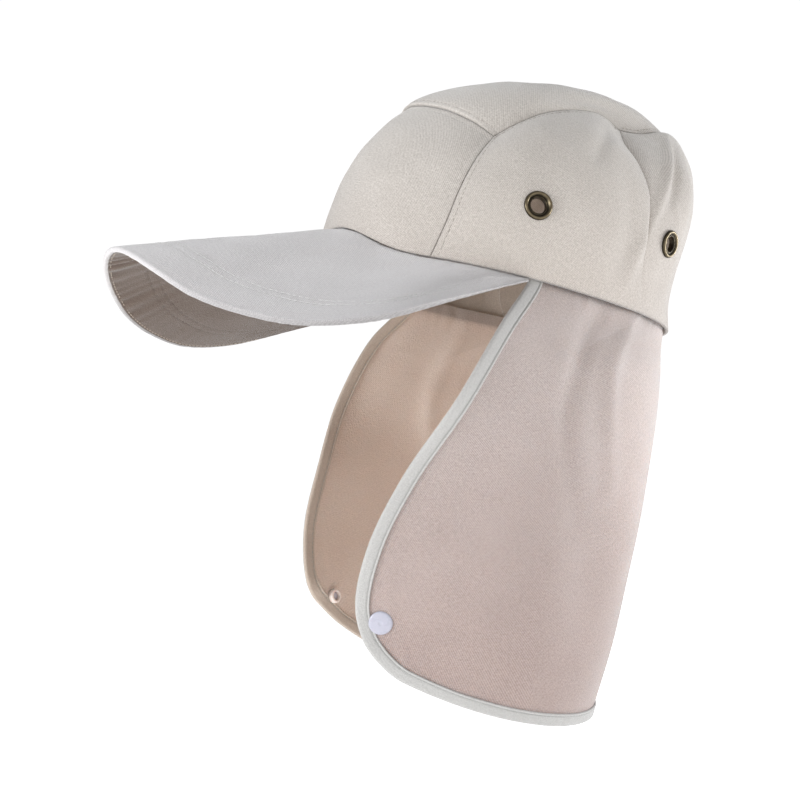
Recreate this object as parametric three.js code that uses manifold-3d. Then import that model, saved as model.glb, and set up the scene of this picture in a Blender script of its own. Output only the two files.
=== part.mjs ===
// Hiking hat with a long arched brim and a neck flap, in millimetres, with +Z up.
// The brim points to -Y and the wearer's left is +X. The origin is the middle of the head
// opening. The hat sits tipped back by HAT_TILT, and the flap hangs straight down from it.
import * as THREE from "three";
import { mergeVertices } from "three/addons/utils/BufferGeometryUtils.js";
import Module from "manifold-3d";

const wasm = await Module();
wasm.setup();

// Driving sizes of the head opening and the cloth
const HAT_TILT = THREE.MathUtils.degToRad(14);
const HEAD_HALF_WIDTH = 80;
const HEAD_FRONT = 96;
const HEAD_BACK = 107;
const HEAD_POWER = 2.15; // a little squarer than an ellipse
const WALL = 1.8; // crown cloth with its seam allowance
const GAP = 0.3; // clearance between neighbouring pieces
const SEAM_TRIM = 0.22; // cut from each panel along a seam, so that two leave a little over GAP
const CORE_HEIGHT = 45; // the crown's walls face this level of the hat's middle line
const CORE_SHIFT = 3;

// Height of the crown's lower edge: arched over the brow, low at the temples, higher at the nape
const TEMPLE_HEM = -4;
const BROW_ARCH = 12.5;
const BROW_END_ANGLE = 50;
const NAPE_RISE = 8;

// Angles round the head opening, in degrees from the front
const FRONT_SEAM_ANGLE = 50;
const BACK_SEAM_ANGLE = 119;
const BRIM_END_ANGLE = 81;
const FLAP_END_ANGLE = 84;

// Crown seams on the wearer's left, each between the points where seams meet
const FRONT_CORNER = { x: 54, y: -41, z: 67 };
const BACK_CORNER = { x: 43, y: 36, z: 99.5 };
const FRONT_SIDE_SEAM = [
  { x: 66, y: -61, z: 14 },
  { x: 65, y: -57.5, z: 32 },
  { x: 61, y: -51, z: 50 },
];
const FRONT_TOP_SEAM = [
  { x: 44, y: -51, z: 74 },
  { x: 26, y: -61.5, z: 81 },
  { x: 0, y: -69, z: 85 },
];
const TOP_SIDE_SEAM = [
  { x: 54, y: -28, z: 79 },
  { x: 52, y: -13, z: 90 },
  { x: 48, y: 6, z: 99 },
  { x: 44, y: 22, z: 103 },
];
const TOP_BACK_SEAM = [
  { x: 40.5, y: 50, z: 102.5 },
  { x: 34.5, y: 64, z: 109.5 },
  { x: 20, y: 81, z: 115 },
  { x: 0, y: 88, z: 116.5 },
];
const BACK_SIDE_SEAM = [
  { x: 54, y: 34.5, z: 88.5 },
  { x: 66, y: 38, z: 76 },
  { x: 74.5, y: 42.5, z: 60 },
  { x: 78, y: 44, z: 40 },
  { x: 76, y: 47, z: 18 },
];

// How far each panel fills out beyond its seams
const PANEL_BULGE = { front: 3.5, side: 6, top: 10.6, back: 18 };
const PANEL_CREST = { front: 1, side: 1, top: 0.68, back: 1.85 }; // above 1, fullest past the middle
const PANEL_FULLNESS = 0.75; // below 1, the panels swell close to their seams
const FOLD_EASE = 8; // how soon a fold reaches its full depth away from the side seams
const PANEL_COLUMNS = 22;
const PANEL_ROWS = 8;

// Folds of the back panel: across is 0 at its left seam and 1 at its right one
const BACK_FOLDS = [
  { across: 0.13, slant: 0.3, depth: 2.4, width: 0.07 },
  { across: 0.27, slant: 0.2, depth: -2.6, width: 0.08 },
  { across: 0.73, slant: -0.2, depth: -2.4, width: 0.08 },
  { across: 0.87, slant: -0.3, depth: 2.2, width: 0.07 },
];

// Brim: the outer edge from the middle of the front to the end beside the wearer's left ear
const BRIM_EDGE = [
  { x: 0, y: -203, z: -34.5 },
  { x: 22, y: -201.3, z: -36.2 },
  { x: 42, y: -196.3, z: -40.9 },
  { x: 60, y: -187.6, z: -47.5 },
  { x: 76, y: -175.2, z: -54.6 },
  { x: 92, y: -158, z: -58.6 },
  { x: 107, y: -135, z: -58.6 },
  { x: 116, y: -107, z: -50 },
  { x: 111, y: -80, z: -36 },
  { x: 98, y: -52, z: -21.5 },
  { x: 83, y: -21, z: -5 },
];
const BRIM_COVER = 1.5;
const BRIM_TUCK = 3; // the brim's inner edge lies this far inside the crown's outer face
const BRIM_CAMBER = 0.4;
const BRIM_CREST = 1.5; // above 1, the camber is highest towards the edge
const BRIM_COLUMNS = 28;
const BRIM_ROWS = 4;

// Neck flap: level sections from the crown down to the hem. back is the middle of the nape, side
// the widest place and edge the front edge. The drops are heights below the origin, and lift is
// how much less the right front edge drops.
const FLAP_SECTIONS = [
  { backDrop: 45, backY: 97.5, sideX: 81, sideY: 5, edgeDrop: 22, edgeX: 83, edgeY: -34, lift: 0 },
  { backDrop: 75, backY: 92.5, sideX: 81, sideY: 2, edgeDrop: 58, edgeX: 80, edgeY: -56, lift: 0 },
  { backDrop: 112, backY: 86, sideX: 78, sideY: 0, edgeDrop: 95, edgeX: 61, edgeY: -75, lift: 0 },
  { backDrop: 150, backY: 78, sideX: 74, sideY: -5, edgeDrop: 130, edgeX: 48, edgeY: -88, lift: 0 },
  { backDrop: 190, backY: 70, sideX: 68, sideY: -8, edgeDrop: 162, edgeX: 38, edgeY: -90, lift: 5 },
  { backDrop: 228, backY: 58, sideX: 58.5, sideY: -5, edgeDrop: 188, edgeX: 41, edgeY: -82, lift: 16 },
];
const FLAP_CLOTH = 1.4;
const FLAP_TUCK = 6; // height of the flap's top edge inside the crown
const FLAP_INSET = 4.2; // from the crown's outer face to the middle of the flap's cloth
const FLAP_SIDE_SHARE = 0.58; // share of a section's half that lies behind its widest place
const FLAP_LIP = 0.5; // how nearly straight back the cloth runs from its front edge
const HEM_CURVE = 2.8; // how late along a section the drop changes from back to edge
const FLAP_COLUMNS = 32;
const FLAP_ROWS = 14;

// Folds of the flap: around is 0 at the nape and 1 at the left front edge, -1 at the right one
const FLAP_FOLDS = [
  { around: 0.3, depth: 2.0, width: 0.07, from: 0.12, to: 0.75 },
  { around: 0.44, depth: -2.2, width: 0.08, from: 0.1, to: 0.8 },
  { around: -0.35, depth: 2.0, width: 0.08, from: 0.12, to: 0.8 },
  { around: -0.5, depth: -1.8, width: 0.08, from: 0.15, to: 0.8 },
];

// Binding: a folded tape round the flap's edge
const BINDING_REACH = 3.8; // onto the flap, from the flap's cut edge
const BINDING_CLOTH = 1.0;
const BINDING_ROOM = 0.6; // between the tape and each face of the flap
const BINDING_FOLD = 0.7; // from the flap's cut edge to the fold of the tape
const BINDING_FIRST_ROW = 2; // the flap's row where the tape comes out of the crown

// Metal eyelets and plastic press snaps
const EYELET = { outer: 7.2, hole: 3.9, barrel: 4.7, crest: 1.5, flange: 0.7, clinch: 6.2 };
const FACET_ROOM = 1.6; // inside the wall, whose flat facets lie a little deeper than its curve
const EYELET_SIDE = { across: 0.41, up: 0.33 };
const EYELET_BACK = { across: 0.1, up: 0.32 };
const SNAP = { cap: 6, dome: 1.9, post: 2, postDepth: 1.5, socket: 4.1, socketHeight: 2.2 };
const SNAP_ROOM = 1.0; // under the cap, over the cloth's hollow
const SOCKET_ROOM = 0.45;
const SNAP_FROM_EDGE = 10.5;
const SNAP_DOWN = 0.865;
const ROUND_STEPS = 20;
const DOME_STEPS = 4;

const COLOURS = {
  crown: 0xd3cdc3,
  brimTop: 0xc9c8c6,
  brimUnder: 0x9a8d82,
  flap: 0xcfbcb2,
  binding: 0xcdd0cb,
  metal: 0x6e5a40,
  snapCap: 0xf0eef6,
  snapSocket: 0xe4dcd2,
};

// Fine steps of the working out
const SLOPE_STEP = 1e-3; // of a surface's u and v, for its normals
const WELD = 1e-4; // vertices nearer than this are one
const PUNCH_LENGTH = 20;
const EDGE_SEARCH = { span: 0.15, step: 0.01 }; // of the flap's edge beside a snap

// Cloth surfaces

function vector({ x, y, z }) {
  return new THREE.Vector3(x, y, z);
}

function mirrored(point) {
  return new THREE.Vector3(-point.x, point.y, point.z);
}

function curveThrough(points, kind = "catmullrom") {
  const curve = new THREE.CatmullRomCurve3(points, false, kind, 0.5);
  return (t) => curve.getPoint(THREE.MathUtils.clamp(t, 0, 1));
}

// The unit vector from a point of the crown towards the core of the hat
function inward(point) {
  const core = new THREE.Vector3(0, CORE_SHIFT, Math.min(point.z, CORE_HEIGHT));
  return core.sub(point).normalize();
}

function rimHeight(degrees) {
  const fromBrow = Math.min(1, degrees / BROW_END_ANGLE);
  const brow = BROW_ARCH * (1 - THREE.MathUtils.smootherstep(fromBrow, 0, 1));
  const turn = (1 - Math.cos(THREE.MathUtils.degToRad(degrees))) / 2;
  return TEMPLE_HEM + brow + NAPE_RISE * turn ** 2;
}

// A point of the head opening, with angles from the front towards the wearer's left
function rimPoint(degrees, inset = 0, lift = 0) {
  const folded = Math.abs(THREE.MathUtils.euclideanModulo(degrees + 180, 360) - 180);
  const angle = THREE.MathUtils.degToRad(degrees);
  const rounded = (value) => Math.sign(value) * Math.abs(value) ** (2 / HEAD_POWER);
  const length = Math.cos(angle) > 0 ? HEAD_FRONT : HEAD_BACK;
  const point = new THREE.Vector3(
    HEAD_HALF_WIDTH * rounded(Math.sin(angle)),
    -length * rounded(Math.cos(angle)),
    rimHeight(folded),
  );
  point.addScaledVector(inward(point), inset);
  point.z += lift;
  return point;
}

// A patch between four edges that meet at its corners
function patchBetween(bottom, top, left, right) {
  return (u, v) => {
    const point = new THREE.Vector3();
    point.addScaledVector(bottom(u), 1 - v).addScaledVector(top(u), v);
    point.addScaledVector(left(v), 1 - u).addScaledVector(right(v), u);
    point.addScaledVector(bottom(0), -(1 - u) * (1 - v)).addScaledVector(bottom(1), -u * (1 - v));
    point.addScaledVector(top(0), -(1 - u) * v).addScaledVector(top(1), -u * v);
    return point;
  };
}

function foldHeight(folds, across, along) {
  let height = 0;
  for (const { across: place, slant, depth, width } of folds) {
    const away = (across - place - slant * (along - 0.5)) / width;
    height += depth * Math.exp(-away * away);
  }
  return height;
}

function filledOut(patch, bulge, crest, folds = []) {
  return (u, v) => {
    const point = patch(u, v);
    const risen = Math.sin(Math.PI * Math.max(0, v) ** crest);
    const swell = Math.max(0, Math.sin(Math.PI * u) * risen);
    const fullness = swell ** PANEL_FULLNESS;
    const ease = Math.sin(Math.PI * v) * Math.min(1, FOLD_EASE * u * (1 - u));
    const folded = foldHeight(folds, u, v) * ease;
    return point.addScaledVector(inward(point), -bulge * fullness - folded);
  };
}

function normalOf(surface, u, v) {
  const du = surface(u + SLOPE_STEP, v).sub(surface(u - SLOPE_STEP, v));
  const dv = surface(u, v + SLOPE_STEP).sub(surface(u, v - SLOPE_STEP));
  return du.cross(dv).normalize();
}

// A closed geometry between an outer and an inner sheet, both functions of u and v from 0 to 1,
// where u, v and the way out are a right-handed set
function clothBetween(columns, rows, outer, inner) {
  const positions = [];
  for (const sheet of [outer, inner]) {
    for (let row = 0; row <= rows; row++) {
      for (let column = 0; column <= columns; column++) {
        positions.push(...sheet(column / columns, row / rows).toArray());
      }
    }
  }
  const layerSize = (columns + 1) * (rows + 1);
  const at = (layer, column, row) => layer * layerSize + row * (columns + 1) + column;
  const index = [];
  const quad = (a, b, c, d) => index.push(a, b, c, a, c, d);
  for (let row = 0; row < rows; row++) {
    for (let column = 0; column < columns; column++) {
      const next = column + 1;
      const above = row + 1;
      quad(at(0, column, row), at(0, next, row), at(0, next, above), at(0, column, above));
      quad(at(1, column, row), at(1, column, above), at(1, next, above), at(1, next, row));
    }
  }
  for (let column = 0; column < columns; column++) {
    const next = column + 1;
    quad(at(0, column, 0), at(1, column, 0), at(1, next, 0), at(0, next, 0));
    quad(at(0, column, rows), at(0, next, rows), at(1, next, rows), at(1, column, rows));
  }
  for (let row = 0; row < rows; row++) {
    const above = row + 1;
    quad(at(0, 0, row), at(0, 0, above), at(1, 0, above), at(1, 0, row));
    quad(at(0, columns, row), at(1, columns, row), at(1, columns, above), at(0, columns, above));
  }
  const geometry = new THREE.BufferGeometry();
  geometry.setAttribute("position", new THREE.Float32BufferAttribute(positions, 3));
  geometry.setIndex(index);
  geometry.computeVertexNormals();
  return geometry;
}

// Booleans

function solidOf(geometry) {
  const bare = geometry.clone();
  bare.deleteAttribute("normal");
  bare.deleteAttribute("uv");
  const merged = mergeVertices(bare, WELD);
  return new wasm.Manifold(
    new wasm.Mesh({
      numProp: 3,
      vertProperties: merged.attributes.position.array,
      triVerts: new Uint32Array(merged.index.array),
    }),
  );
}

function geometryOf(solid) {
  const mesh = solid.getMesh();
  const geometry = new THREE.BufferGeometry();
  geometry.setAttribute("position", new THREE.Float32BufferAttribute(mesh.vertProperties, 3));
  geometry.setIndex(Array.from(mesh.triVerts));
  const faceted = geometry.toNonIndexed();
  faceted.computeVertexNormals();
  return faceted;
}

function placedAt(geometry, { point, normal }) {
  const turn = new THREE.Quaternion().setFromUnitVectors(new THREE.Vector3(0, 1, 0), normal);
  const place = new THREE.Matrix4().compose(point, turn, new THREE.Vector3(1, 1, 1));
  return geometry.clone().applyMatrix4(place);
}

function withHoles(geometry, places, radius) {
  let solid = solidOf(geometry);
  const punch = new THREE.CylinderGeometry(radius, radius, PUNCH_LENGTH, ROUND_STEPS);
  for (const place of places) solid = solid.subtract(solidOf(placedAt(punch, place)));
  return geometryOf(solid);
}

function material(color, roughness, metalness = 0) {
  return new THREE.MeshStandardMaterial({ color, roughness, metalness });
}

function addMesh(group, name, geometry, look) {
  const mesh = new THREE.Mesh(geometry, look);
  mesh.name = name;
  group.add(mesh);
  return mesh;
}

// Crown

const frontCorner = vector(FRONT_CORNER);
const backCorner = vector(BACK_CORNER);

function seam(first, middle, last) {
  return curveThrough([first, ...middle.map(vector), last]);
}

// A seam that crosses the middle plane, from the wearer's right corner to the left one
function crossingSeam(corner, middle) {
  const half = [corner, ...middle.map(vector)];
  const other = half.slice(0, -1).map(mirrored);
  return curveThrough([...other, ...half.reverse()]);
}

function reversed(curve) {
  return (t) => curve(1 - t);
}

function mirroredCurve(curve) {
  return (t) => mirrored(curve(t));
}

function rimArc(from, to) {
  return (t) => rimPoint(THREE.MathUtils.lerp(from, to, t));
}

const frontSide = seam(rimPoint(FRONT_SEAM_ANGLE), FRONT_SIDE_SEAM, frontCorner);
const backSide = reversed(seam(backCorner, BACK_SIDE_SEAM, rimPoint(BACK_SEAM_ANGLE)));
const topSide = seam(frontCorner, TOP_SIDE_SEAM, backCorner);
const frontTop = crossingSeam(frontCorner, FRONT_TOP_SEAM);
const topBack = crossingSeam(backCorner, TOP_BACK_SEAM);

const frontPanel = filledOut(
  patchBetween(
    rimArc(-FRONT_SEAM_ANGLE, FRONT_SEAM_ANGLE),
    frontTop,
    mirroredCurve(frontSide),
    frontSide,
  ),
  PANEL_BULGE.front,
  PANEL_CREST.front,
);
const sidePanel = filledOut(
  patchBetween(rimArc(FRONT_SEAM_ANGLE, BACK_SEAM_ANGLE), topSide, frontSide, backSide),
  PANEL_BULGE.side,
  PANEL_CREST.side,
);
const topPanel = filledOut(
  patchBetween(frontTop, topBack, mirroredCurve(topSide), topSide),
  PANEL_BULGE.top,
  PANEL_CREST.top,
);
const backPanel = filledOut(
  patchBetween(
    rimArc(BACK_SEAM_ANGLE, 360 - BACK_SEAM_ANGLE),
    reversed(topBack),
    backSide,
    mirroredCurve(backSide),
  ),
  PANEL_BULGE.back,
  PANEL_CREST.back,
  BACK_FOLDS,
);

// The length of a line of a surface, from 0 to 1, by way of its middle
function lengthOf(line) {
  return line(0).distanceTo(line(0.5)) + line(0.5).distanceTo(line(1));
}

// The panel's cloth, drawn in from its seams
function panelCloth(columns, rows, surface) {
  const trimU = SEAM_TRIM / lengthOf((t) => surface(t, 0.5));
  const trimV = SEAM_TRIM / lengthOf((t) => surface(0.5, t));
  const outer = (u, v) =>
    surface(THREE.MathUtils.lerp(trimU, 1 - trimU, u), THREE.MathUtils.lerp(trimV, 1 - trimV, v));
  const inner = (u, v) => {
    const point = outer(u, v);
    return point.addScaledVector(inward(point), WALL);
  };
  return clothBetween(columns, rows, outer, inner);
}

function mirroredPanel(surface) {
  return (u, v) => mirrored(surface(1 - u, v));
}

function opposite({ across, up }) {
  return { across: 1 - across, up };
}

function eyeletPlace(surface, { across, up }) {
  return { point: surface(across, up), normal: normalOf(surface, across, up) };
}

// A shape turned round the Y axis from rows of radius and height, out along its underside and back
// along its top
function turned(profile) {
  const points = profile.map(([radius, height]) => new THREE.Vector2(radius, height));
  return new THREE.LatheGeometry(points, ROUND_STEPS);
}

// A clinched eyelet round the Y axis, whose zero height is the panel's outer face
function eyeletGeometry() {
  const { outer, hole, barrel, crest, flange, clinch } = EYELET;
  const inside = -(WALL + FACET_ROOM);
  const profile = [
    [hole, inside - flange],
    [clinch, inside - flange],
    [clinch, inside],
    [barrel, inside],
    [barrel, GAP],
    [outer, GAP],
    [outer - GAP, crest - 2 * GAP],
    [(barrel + outer) / 2, crest],
    [(hole + barrel) / 2, crest - GAP],
    [hole, crest - 2 * GAP],
    [hole, inside - flange],
  ];
  return turned(profile);
}

function addCrown(group) {
  const cloth = material(COLOURS.crown, 0.9);
  const metal = material(COLOURS.metal, 0.35, 0.9);
  const rightSidePanel = mirroredPanel(sidePanel);
  const sideLeftPlace = eyeletPlace(sidePanel, EYELET_SIDE);
  const sideRightPlace = eyeletPlace(rightSidePanel, opposite(EYELET_SIDE));
  const backLeftPlace = eyeletPlace(backPanel, EYELET_BACK);
  const backRightPlace = eyeletPlace(backPanel, opposite(EYELET_BACK));
  const punched = EYELET.barrel + GAP;
  const sideLeft = panelCloth(PANEL_ROWS, PANEL_ROWS, sidePanel);
  const sideRight = panelCloth(PANEL_ROWS, PANEL_ROWS, rightSidePanel);
  const back = panelCloth(PANEL_COLUMNS, PANEL_ROWS, backPanel);
  addMesh(group, "crown_front_panel", panelCloth(PANEL_COLUMNS, PANEL_ROWS, frontPanel), cloth);
  addMesh(group, "crown_top_panel", panelCloth(PANEL_COLUMNS, PANEL_ROWS, topPanel), cloth);
  addMesh(group, "crown_side_panel_left", withHoles(sideLeft, [sideLeftPlace], punched), cloth);
  addMesh(group, "crown_side_panel_right", withHoles(sideRight, [sideRightPlace], punched), cloth);
  const punchedBack = withHoles(back, [backLeftPlace, backRightPlace], punched);
  addMesh(group, "crown_back_panel", punchedBack, cloth);
  addMesh(group, "eyelet_side_left", placedAt(eyeletGeometry(), sideLeftPlace), metal);
  addMesh(group, "eyelet_side_right", placedAt(eyeletGeometry(), sideRightPlace), metal);
  addMesh(group, "eyelet_back_left", placedAt(eyeletGeometry(), backLeftPlace), metal);
  addMesh(group, "eyelet_back_right", placedAt(eyeletGeometry(), backRightPlace), metal);
}

// Brim

const brimOuterHalf = BRIM_EDGE.map(vector);
const brimOuter = curveThrough([
  ...brimOuterHalf.slice(1).map(mirrored).reverse(),
  ...brimOuterHalf,
]);

// across runs from the wearer's left end to the right end, out from the crown to the edge
function brimSurface(across, out) {
  const angle = THREE.MathUtils.lerp(BRIM_END_ANGLE, -BRIM_END_ANGLE, across);
  const point = rimPoint(angle, BRIM_TUCK, -GAP).lerp(brimOuter(1 - across), out);
  const crest = Math.sin(Math.PI * Math.abs(out) ** BRIM_CREST);
  point.z += BRIM_CAMBER * crest * Math.sin(Math.PI * across);
  return point;
}

function brimLayer(depth) {
  return (across, out) =>
    brimSurface(across, out).addScaledVector(normalOf(brimSurface, across, out), -depth);
}

function addBrim(group) {
  const under = BRIM_COVER + GAP;
  const top = clothBetween(BRIM_COLUMNS, BRIM_ROWS, brimLayer(0), brimLayer(BRIM_COVER));
  const bottom = clothBetween(BRIM_COLUMNS, BRIM_ROWS, brimLayer(under), brimLayer(under + BRIM_COVER));
  addMesh(group, "brim_top_cover", top, material(COLOURS.brimTop, 0.9));
  addMesh(group, "brim_under_cover", bottom, material(COLOURS.brimUnder, 0.9));
}

// Neck flap, in the frame of the world, where it hangs

function tilted(point) {
  return point.applyAxisAngle(new THREE.Vector3(1, 0, 0), -HAT_TILT);
}

function sectionPoint(section, around) {
  const { backDrop, backY, sideX, sideY, edgeDrop, edgeX, edgeY, lift } = section;
  const share = Math.abs(around);
  const frontDrop = around < 0 ? edgeDrop - lift : edgeDrop;
  const point = new THREE.Vector3();
  point.z = -THREE.MathUtils.lerp(backDrop, frontDrop, share ** HEM_CURVE);
  if (share < FLAP_SIDE_SHARE) {
    const turn = (share / FLAP_SIDE_SHARE) * (Math.PI / 2);
    point.x = sideX * Math.sin(turn);
    point.y = sideY + (backY - sideY) * Math.cos(turn);
  } else {
    const forward = (share - FLAP_SIDE_SHARE) / (1 - FLAP_SIDE_SHARE);
    const closing = THREE.MathUtils.lerp(forward ** 2, THREE.MathUtils.smoothstep(forward, 0, 1), FLAP_LIP);
    point.x = THREE.MathUtils.lerp(sideX, edgeX, closing);
    point.y = THREE.MathUtils.lerp(sideY, edgeY, forward);
  }
  point.x *= Math.sign(around);
  return point;
}

// around runs from -1 at the right front edge to 1 at the left one, down from the crown to the hem
function flapMiddle(around, down) {
  const angle = THREE.MathUtils.lerp(180, FLAP_END_ANGLE, around);
  const points = [
    tilted(rimPoint(angle, FLAP_INSET, FLAP_TUCK)),
    tilted(rimPoint(angle, FLAP_INSET, -2 * GAP)),
    ...FLAP_SECTIONS.map((section) => sectionPoint(section, around)),
  ];
  return curveThrough(points, "centripetal")(down);
}

function flapFold(around, down) {
  let height = 0;
  for (const { around: place, depth, width, from, to } of FLAP_FOLDS) {
    const along = THREE.MathUtils.clamp((down - from) / (to - from), 0, 1);
    height += depth * Math.exp(-(((around - place) / width) ** 2)) * Math.sin(Math.PI * along);
  }
  return height;
}

function flapSurface(u, v) {
  const around = 2 * u - 1;
  const normal = normalOf((a, b) => flapMiddle(2 * a - 1, b), u, v);
  return flapMiddle(around, v).addScaledVector(normal, flapFold(around, v));
}

function flapSide(height) {
  return (u, v) => flapSurface(u, v).addScaledVector(normalOf(flapSurface, u, v), height);
}

// The binding's route: down the left front edge, round the hem and up the right front edge. Each
// stop is a point of the flap's edge with the cloth's next point inwards.
function bindingRoute() {
  const columnStep = 1 / FLAP_COLUMNS;
  const rowStep = 1 / FLAP_ROWS;
  const route = [];
  for (let v = BINDING_FIRST_ROW; v < FLAP_ROWS; v++) {
    route.push({ edge: [1, v * rowStep], next: [1 - columnStep, v * rowStep] });
  }
  route.push({ edge: [1, 1], next: [1 - columnStep, 1 - rowStep] });
  for (let u = FLAP_COLUMNS - 1; u > 0; u--) {
    route.push({ edge: [u * columnStep, 1], next: [u * columnStep, 1 - rowStep] });
  }
  route.push({ edge: [0, 1], next: [columnStep, 1 - rowStep] });
  for (let v = FLAP_ROWS - 1; v >= BINDING_FIRST_ROW; v--) {
    route.push({ edge: [0, v * rowStep], next: [columnStep, v * rowStep] });
  }
  return route;
}

function bindingGeometry() {
  const route = bindingRoute();
  const points = route.map(({ edge }) => flapSurface(...edge));
  const last = points.length - 1;
  const frames = route.map(({ next }, i) => {
    const along = points[Math.min(i + 1, last)].clone().sub(points[Math.max(i - 1, 0)]).normalize();
    const back = points[i].clone().sub(flapSurface(...next));
    const normal = back.cross(along).normalize();
    return { point: points[i], normal, outwards: along.cross(normal) };
  });
  const half = FLAP_CLOTH / 2 + BINDING_ROOM;
  const full = half + BINDING_CLOTH;
  const fold = BINDING_FOLD + BINDING_CLOTH;
  const outerLine = [
    [-BINDING_REACH, -full],
    [fold - BINDING_CLOTH, -full],
    [fold, -half],
    [fold, half],
    [fold - BINDING_CLOTH, full],
    [-BINDING_REACH, full],
  ];
  const innerLine = [
    [-BINDING_REACH, -half],
    [BINDING_FOLD - GAP / 2, -half],
    [BINDING_FOLD, -FLAP_CLOTH / 2],
    [BINDING_FOLD, FLAP_CLOTH / 2],
    [BINDING_FOLD - GAP / 2, half],
    [-BINDING_REACH, half],
  ];
  const sweep = (line) => (u, v) => {
    const { point, normal, outwards } = frames[Math.round(u * last)];
    const [out, up] = line[Math.round(v * (line.length - 1))];
    return point.clone().addScaledVector(outwards, out).addScaledVector(normal, up);
  };
  return clothBetween(last, outerLine.length - 1, sweep(outerLine), sweep(innerLine));
}

// The place on the flap that lies SNAP_FROM_EDGE behind the front edge of one side, 1 or -1
function snapPlace(side) {
  const edge = [];
  for (let down = SNAP_DOWN - EDGE_SEARCH.span; down < 1; down += EDGE_SEARCH.step) {
    edge.push(flapSurface((1 + side) / 2, down));
  }
  const fromEdge = (u) => {
    const point = flapSurface(u, SNAP_DOWN);
    return Math.min(...edge.map((place) => place.distanceTo(point)));
  };
  let around = side;
  while (fromEdge((1 + around) / 2) < SNAP_FROM_EDGE) around -= side * SLOPE_STEP;
  const u = (1 + around) / 2;
  return { point: flapSurface(u, SNAP_DOWN), normal: normalOf(flapSurface, u, SNAP_DOWN) };
}

// The cap with its post, whose zero height is the middle of the flap's cloth
function snapCapGeometry() {
  const { cap, dome, post, postDepth } = SNAP;
  const face = FLAP_CLOTH / 2 + SNAP_ROOM;
  const profile = [
    [0, -face - postDepth],
    [post, -face - postDepth],
    [post, face],
    [cap - GAP, face],
  ];
  for (let step = 0; step <= DOME_STEPS; step++) {
    const rise = ((step / DOME_STEPS) * Math.PI) / 2;
    const radius = step === DOME_STEPS ? 0 : cap * Math.cos(rise);
    profile.push([radius, face + GAP + (dome - GAP) * Math.sin(rise)]);
  }
  return turned(profile);
}

// The inside half: a collar round the post with a bead on its face
function snapSocketGeometry() {
  const { post, socket, socketHeight } = SNAP;
  const face = -(FLAP_CLOTH / 2 + SOCKET_ROOM);
  const bore = post + GAP;
  const profile = [
    [bore, face],
    [bore, face - socketHeight],
    [(bore + socket) / 2, face - socketHeight - GAP],
    [socket - GAP, face - socketHeight],
    [socket, face - socketHeight + 2 * GAP],
    [socket, face],
    [bore, face],
  ];
  return turned(profile);
}

function addFlap(group) {
  const places = { left: snapPlace(1), right: snapPlace(-1) };
  const half = FLAP_CLOTH / 2;
  const cloth = clothBetween(FLAP_COLUMNS, FLAP_ROWS, flapSide(half), flapSide(-half));
  const punched = withHoles(cloth, [places.left, places.right], SNAP.post + GAP);
  addMesh(group, "neck_flap", punched, material(COLOURS.flap, 0.9));
  addMesh(group, "flap_binding", bindingGeometry(), material(COLOURS.binding, 0.8));
  for (const [side, place] of Object.entries(places)) {
    const cap = placedAt(snapCapGeometry(), place);
    const socket = placedAt(snapSocketGeometry(), place);
    addMesh(group, "snap_cap_" + side, cap, material(COLOURS.snapCap, 0.3));
    addMesh(group, "snap_socket_" + side, socket, material(COLOURS.snapSocket, 0.3));
  }
}

const hat = new THREE.Group();
const head = new THREE.Group();
head.rotation.x = -HAT_TILT;
hat.add(head);
addCrown(head);
addBrim(head);
addFlap(hat);

export default hat;
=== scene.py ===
import math
import bpy
import numpy as np
from mathutils import Matrix, Vector


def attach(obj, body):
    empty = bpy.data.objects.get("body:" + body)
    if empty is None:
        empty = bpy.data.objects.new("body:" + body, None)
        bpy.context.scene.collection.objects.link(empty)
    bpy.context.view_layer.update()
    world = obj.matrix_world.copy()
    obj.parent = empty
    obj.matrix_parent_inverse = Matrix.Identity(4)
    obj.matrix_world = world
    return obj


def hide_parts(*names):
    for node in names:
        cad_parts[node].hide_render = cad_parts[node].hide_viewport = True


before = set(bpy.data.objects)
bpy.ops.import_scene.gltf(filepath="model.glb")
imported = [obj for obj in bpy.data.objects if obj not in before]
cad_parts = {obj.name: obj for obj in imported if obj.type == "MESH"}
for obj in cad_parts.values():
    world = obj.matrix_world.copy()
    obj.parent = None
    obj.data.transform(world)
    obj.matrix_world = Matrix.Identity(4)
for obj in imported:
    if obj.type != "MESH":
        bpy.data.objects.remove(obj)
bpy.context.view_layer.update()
bpy.ops.object.select_all(action="DESELECT")

# Camera: level with the neck flap, to the left of the hat and a little in front of it, with the
# floor well below the hem of the flap, which hangs free as it does on a head.
bpy.ops.object.camera_add(location=(0.565, -0.296, -0.0575), rotation=(math.pi / 2, 0, math.radians(66.6)))
camera = bpy.context.object
camera.name = "camera"
camera.data.lens = 51.75
camera.data.sensor_width = 36
camera.data.clip_start = 0.01
camera.data.clip_end = 60
bpy.context.scene.camera = camera

FLOOR_DROP = -0.33
bpy.ops.mesh.primitive_plane_add(size=24, location=(0, 0, FLOOR_DROP))
floor = bpy.context.object
floor.name = "floor"
floor_paint = bpy.data.materials.new("floor_paint")
floor_paint.use_nodes = True
floor_shader = floor_paint.node_tree.nodes["Principled BSDF"]
floor_shader.inputs["Base Color"].default_value = (0.5, 0.5, 0.5, 1)
floor_shader.inputs["Roughness"].default_value = 0.9
floor_shader.inputs["Emission Color"].default_value = (1, 1, 1, 1)
floor_shader.inputs["Emission Strength"].default_value = 0.84
floor.data.materials.append(floor_paint)

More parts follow.
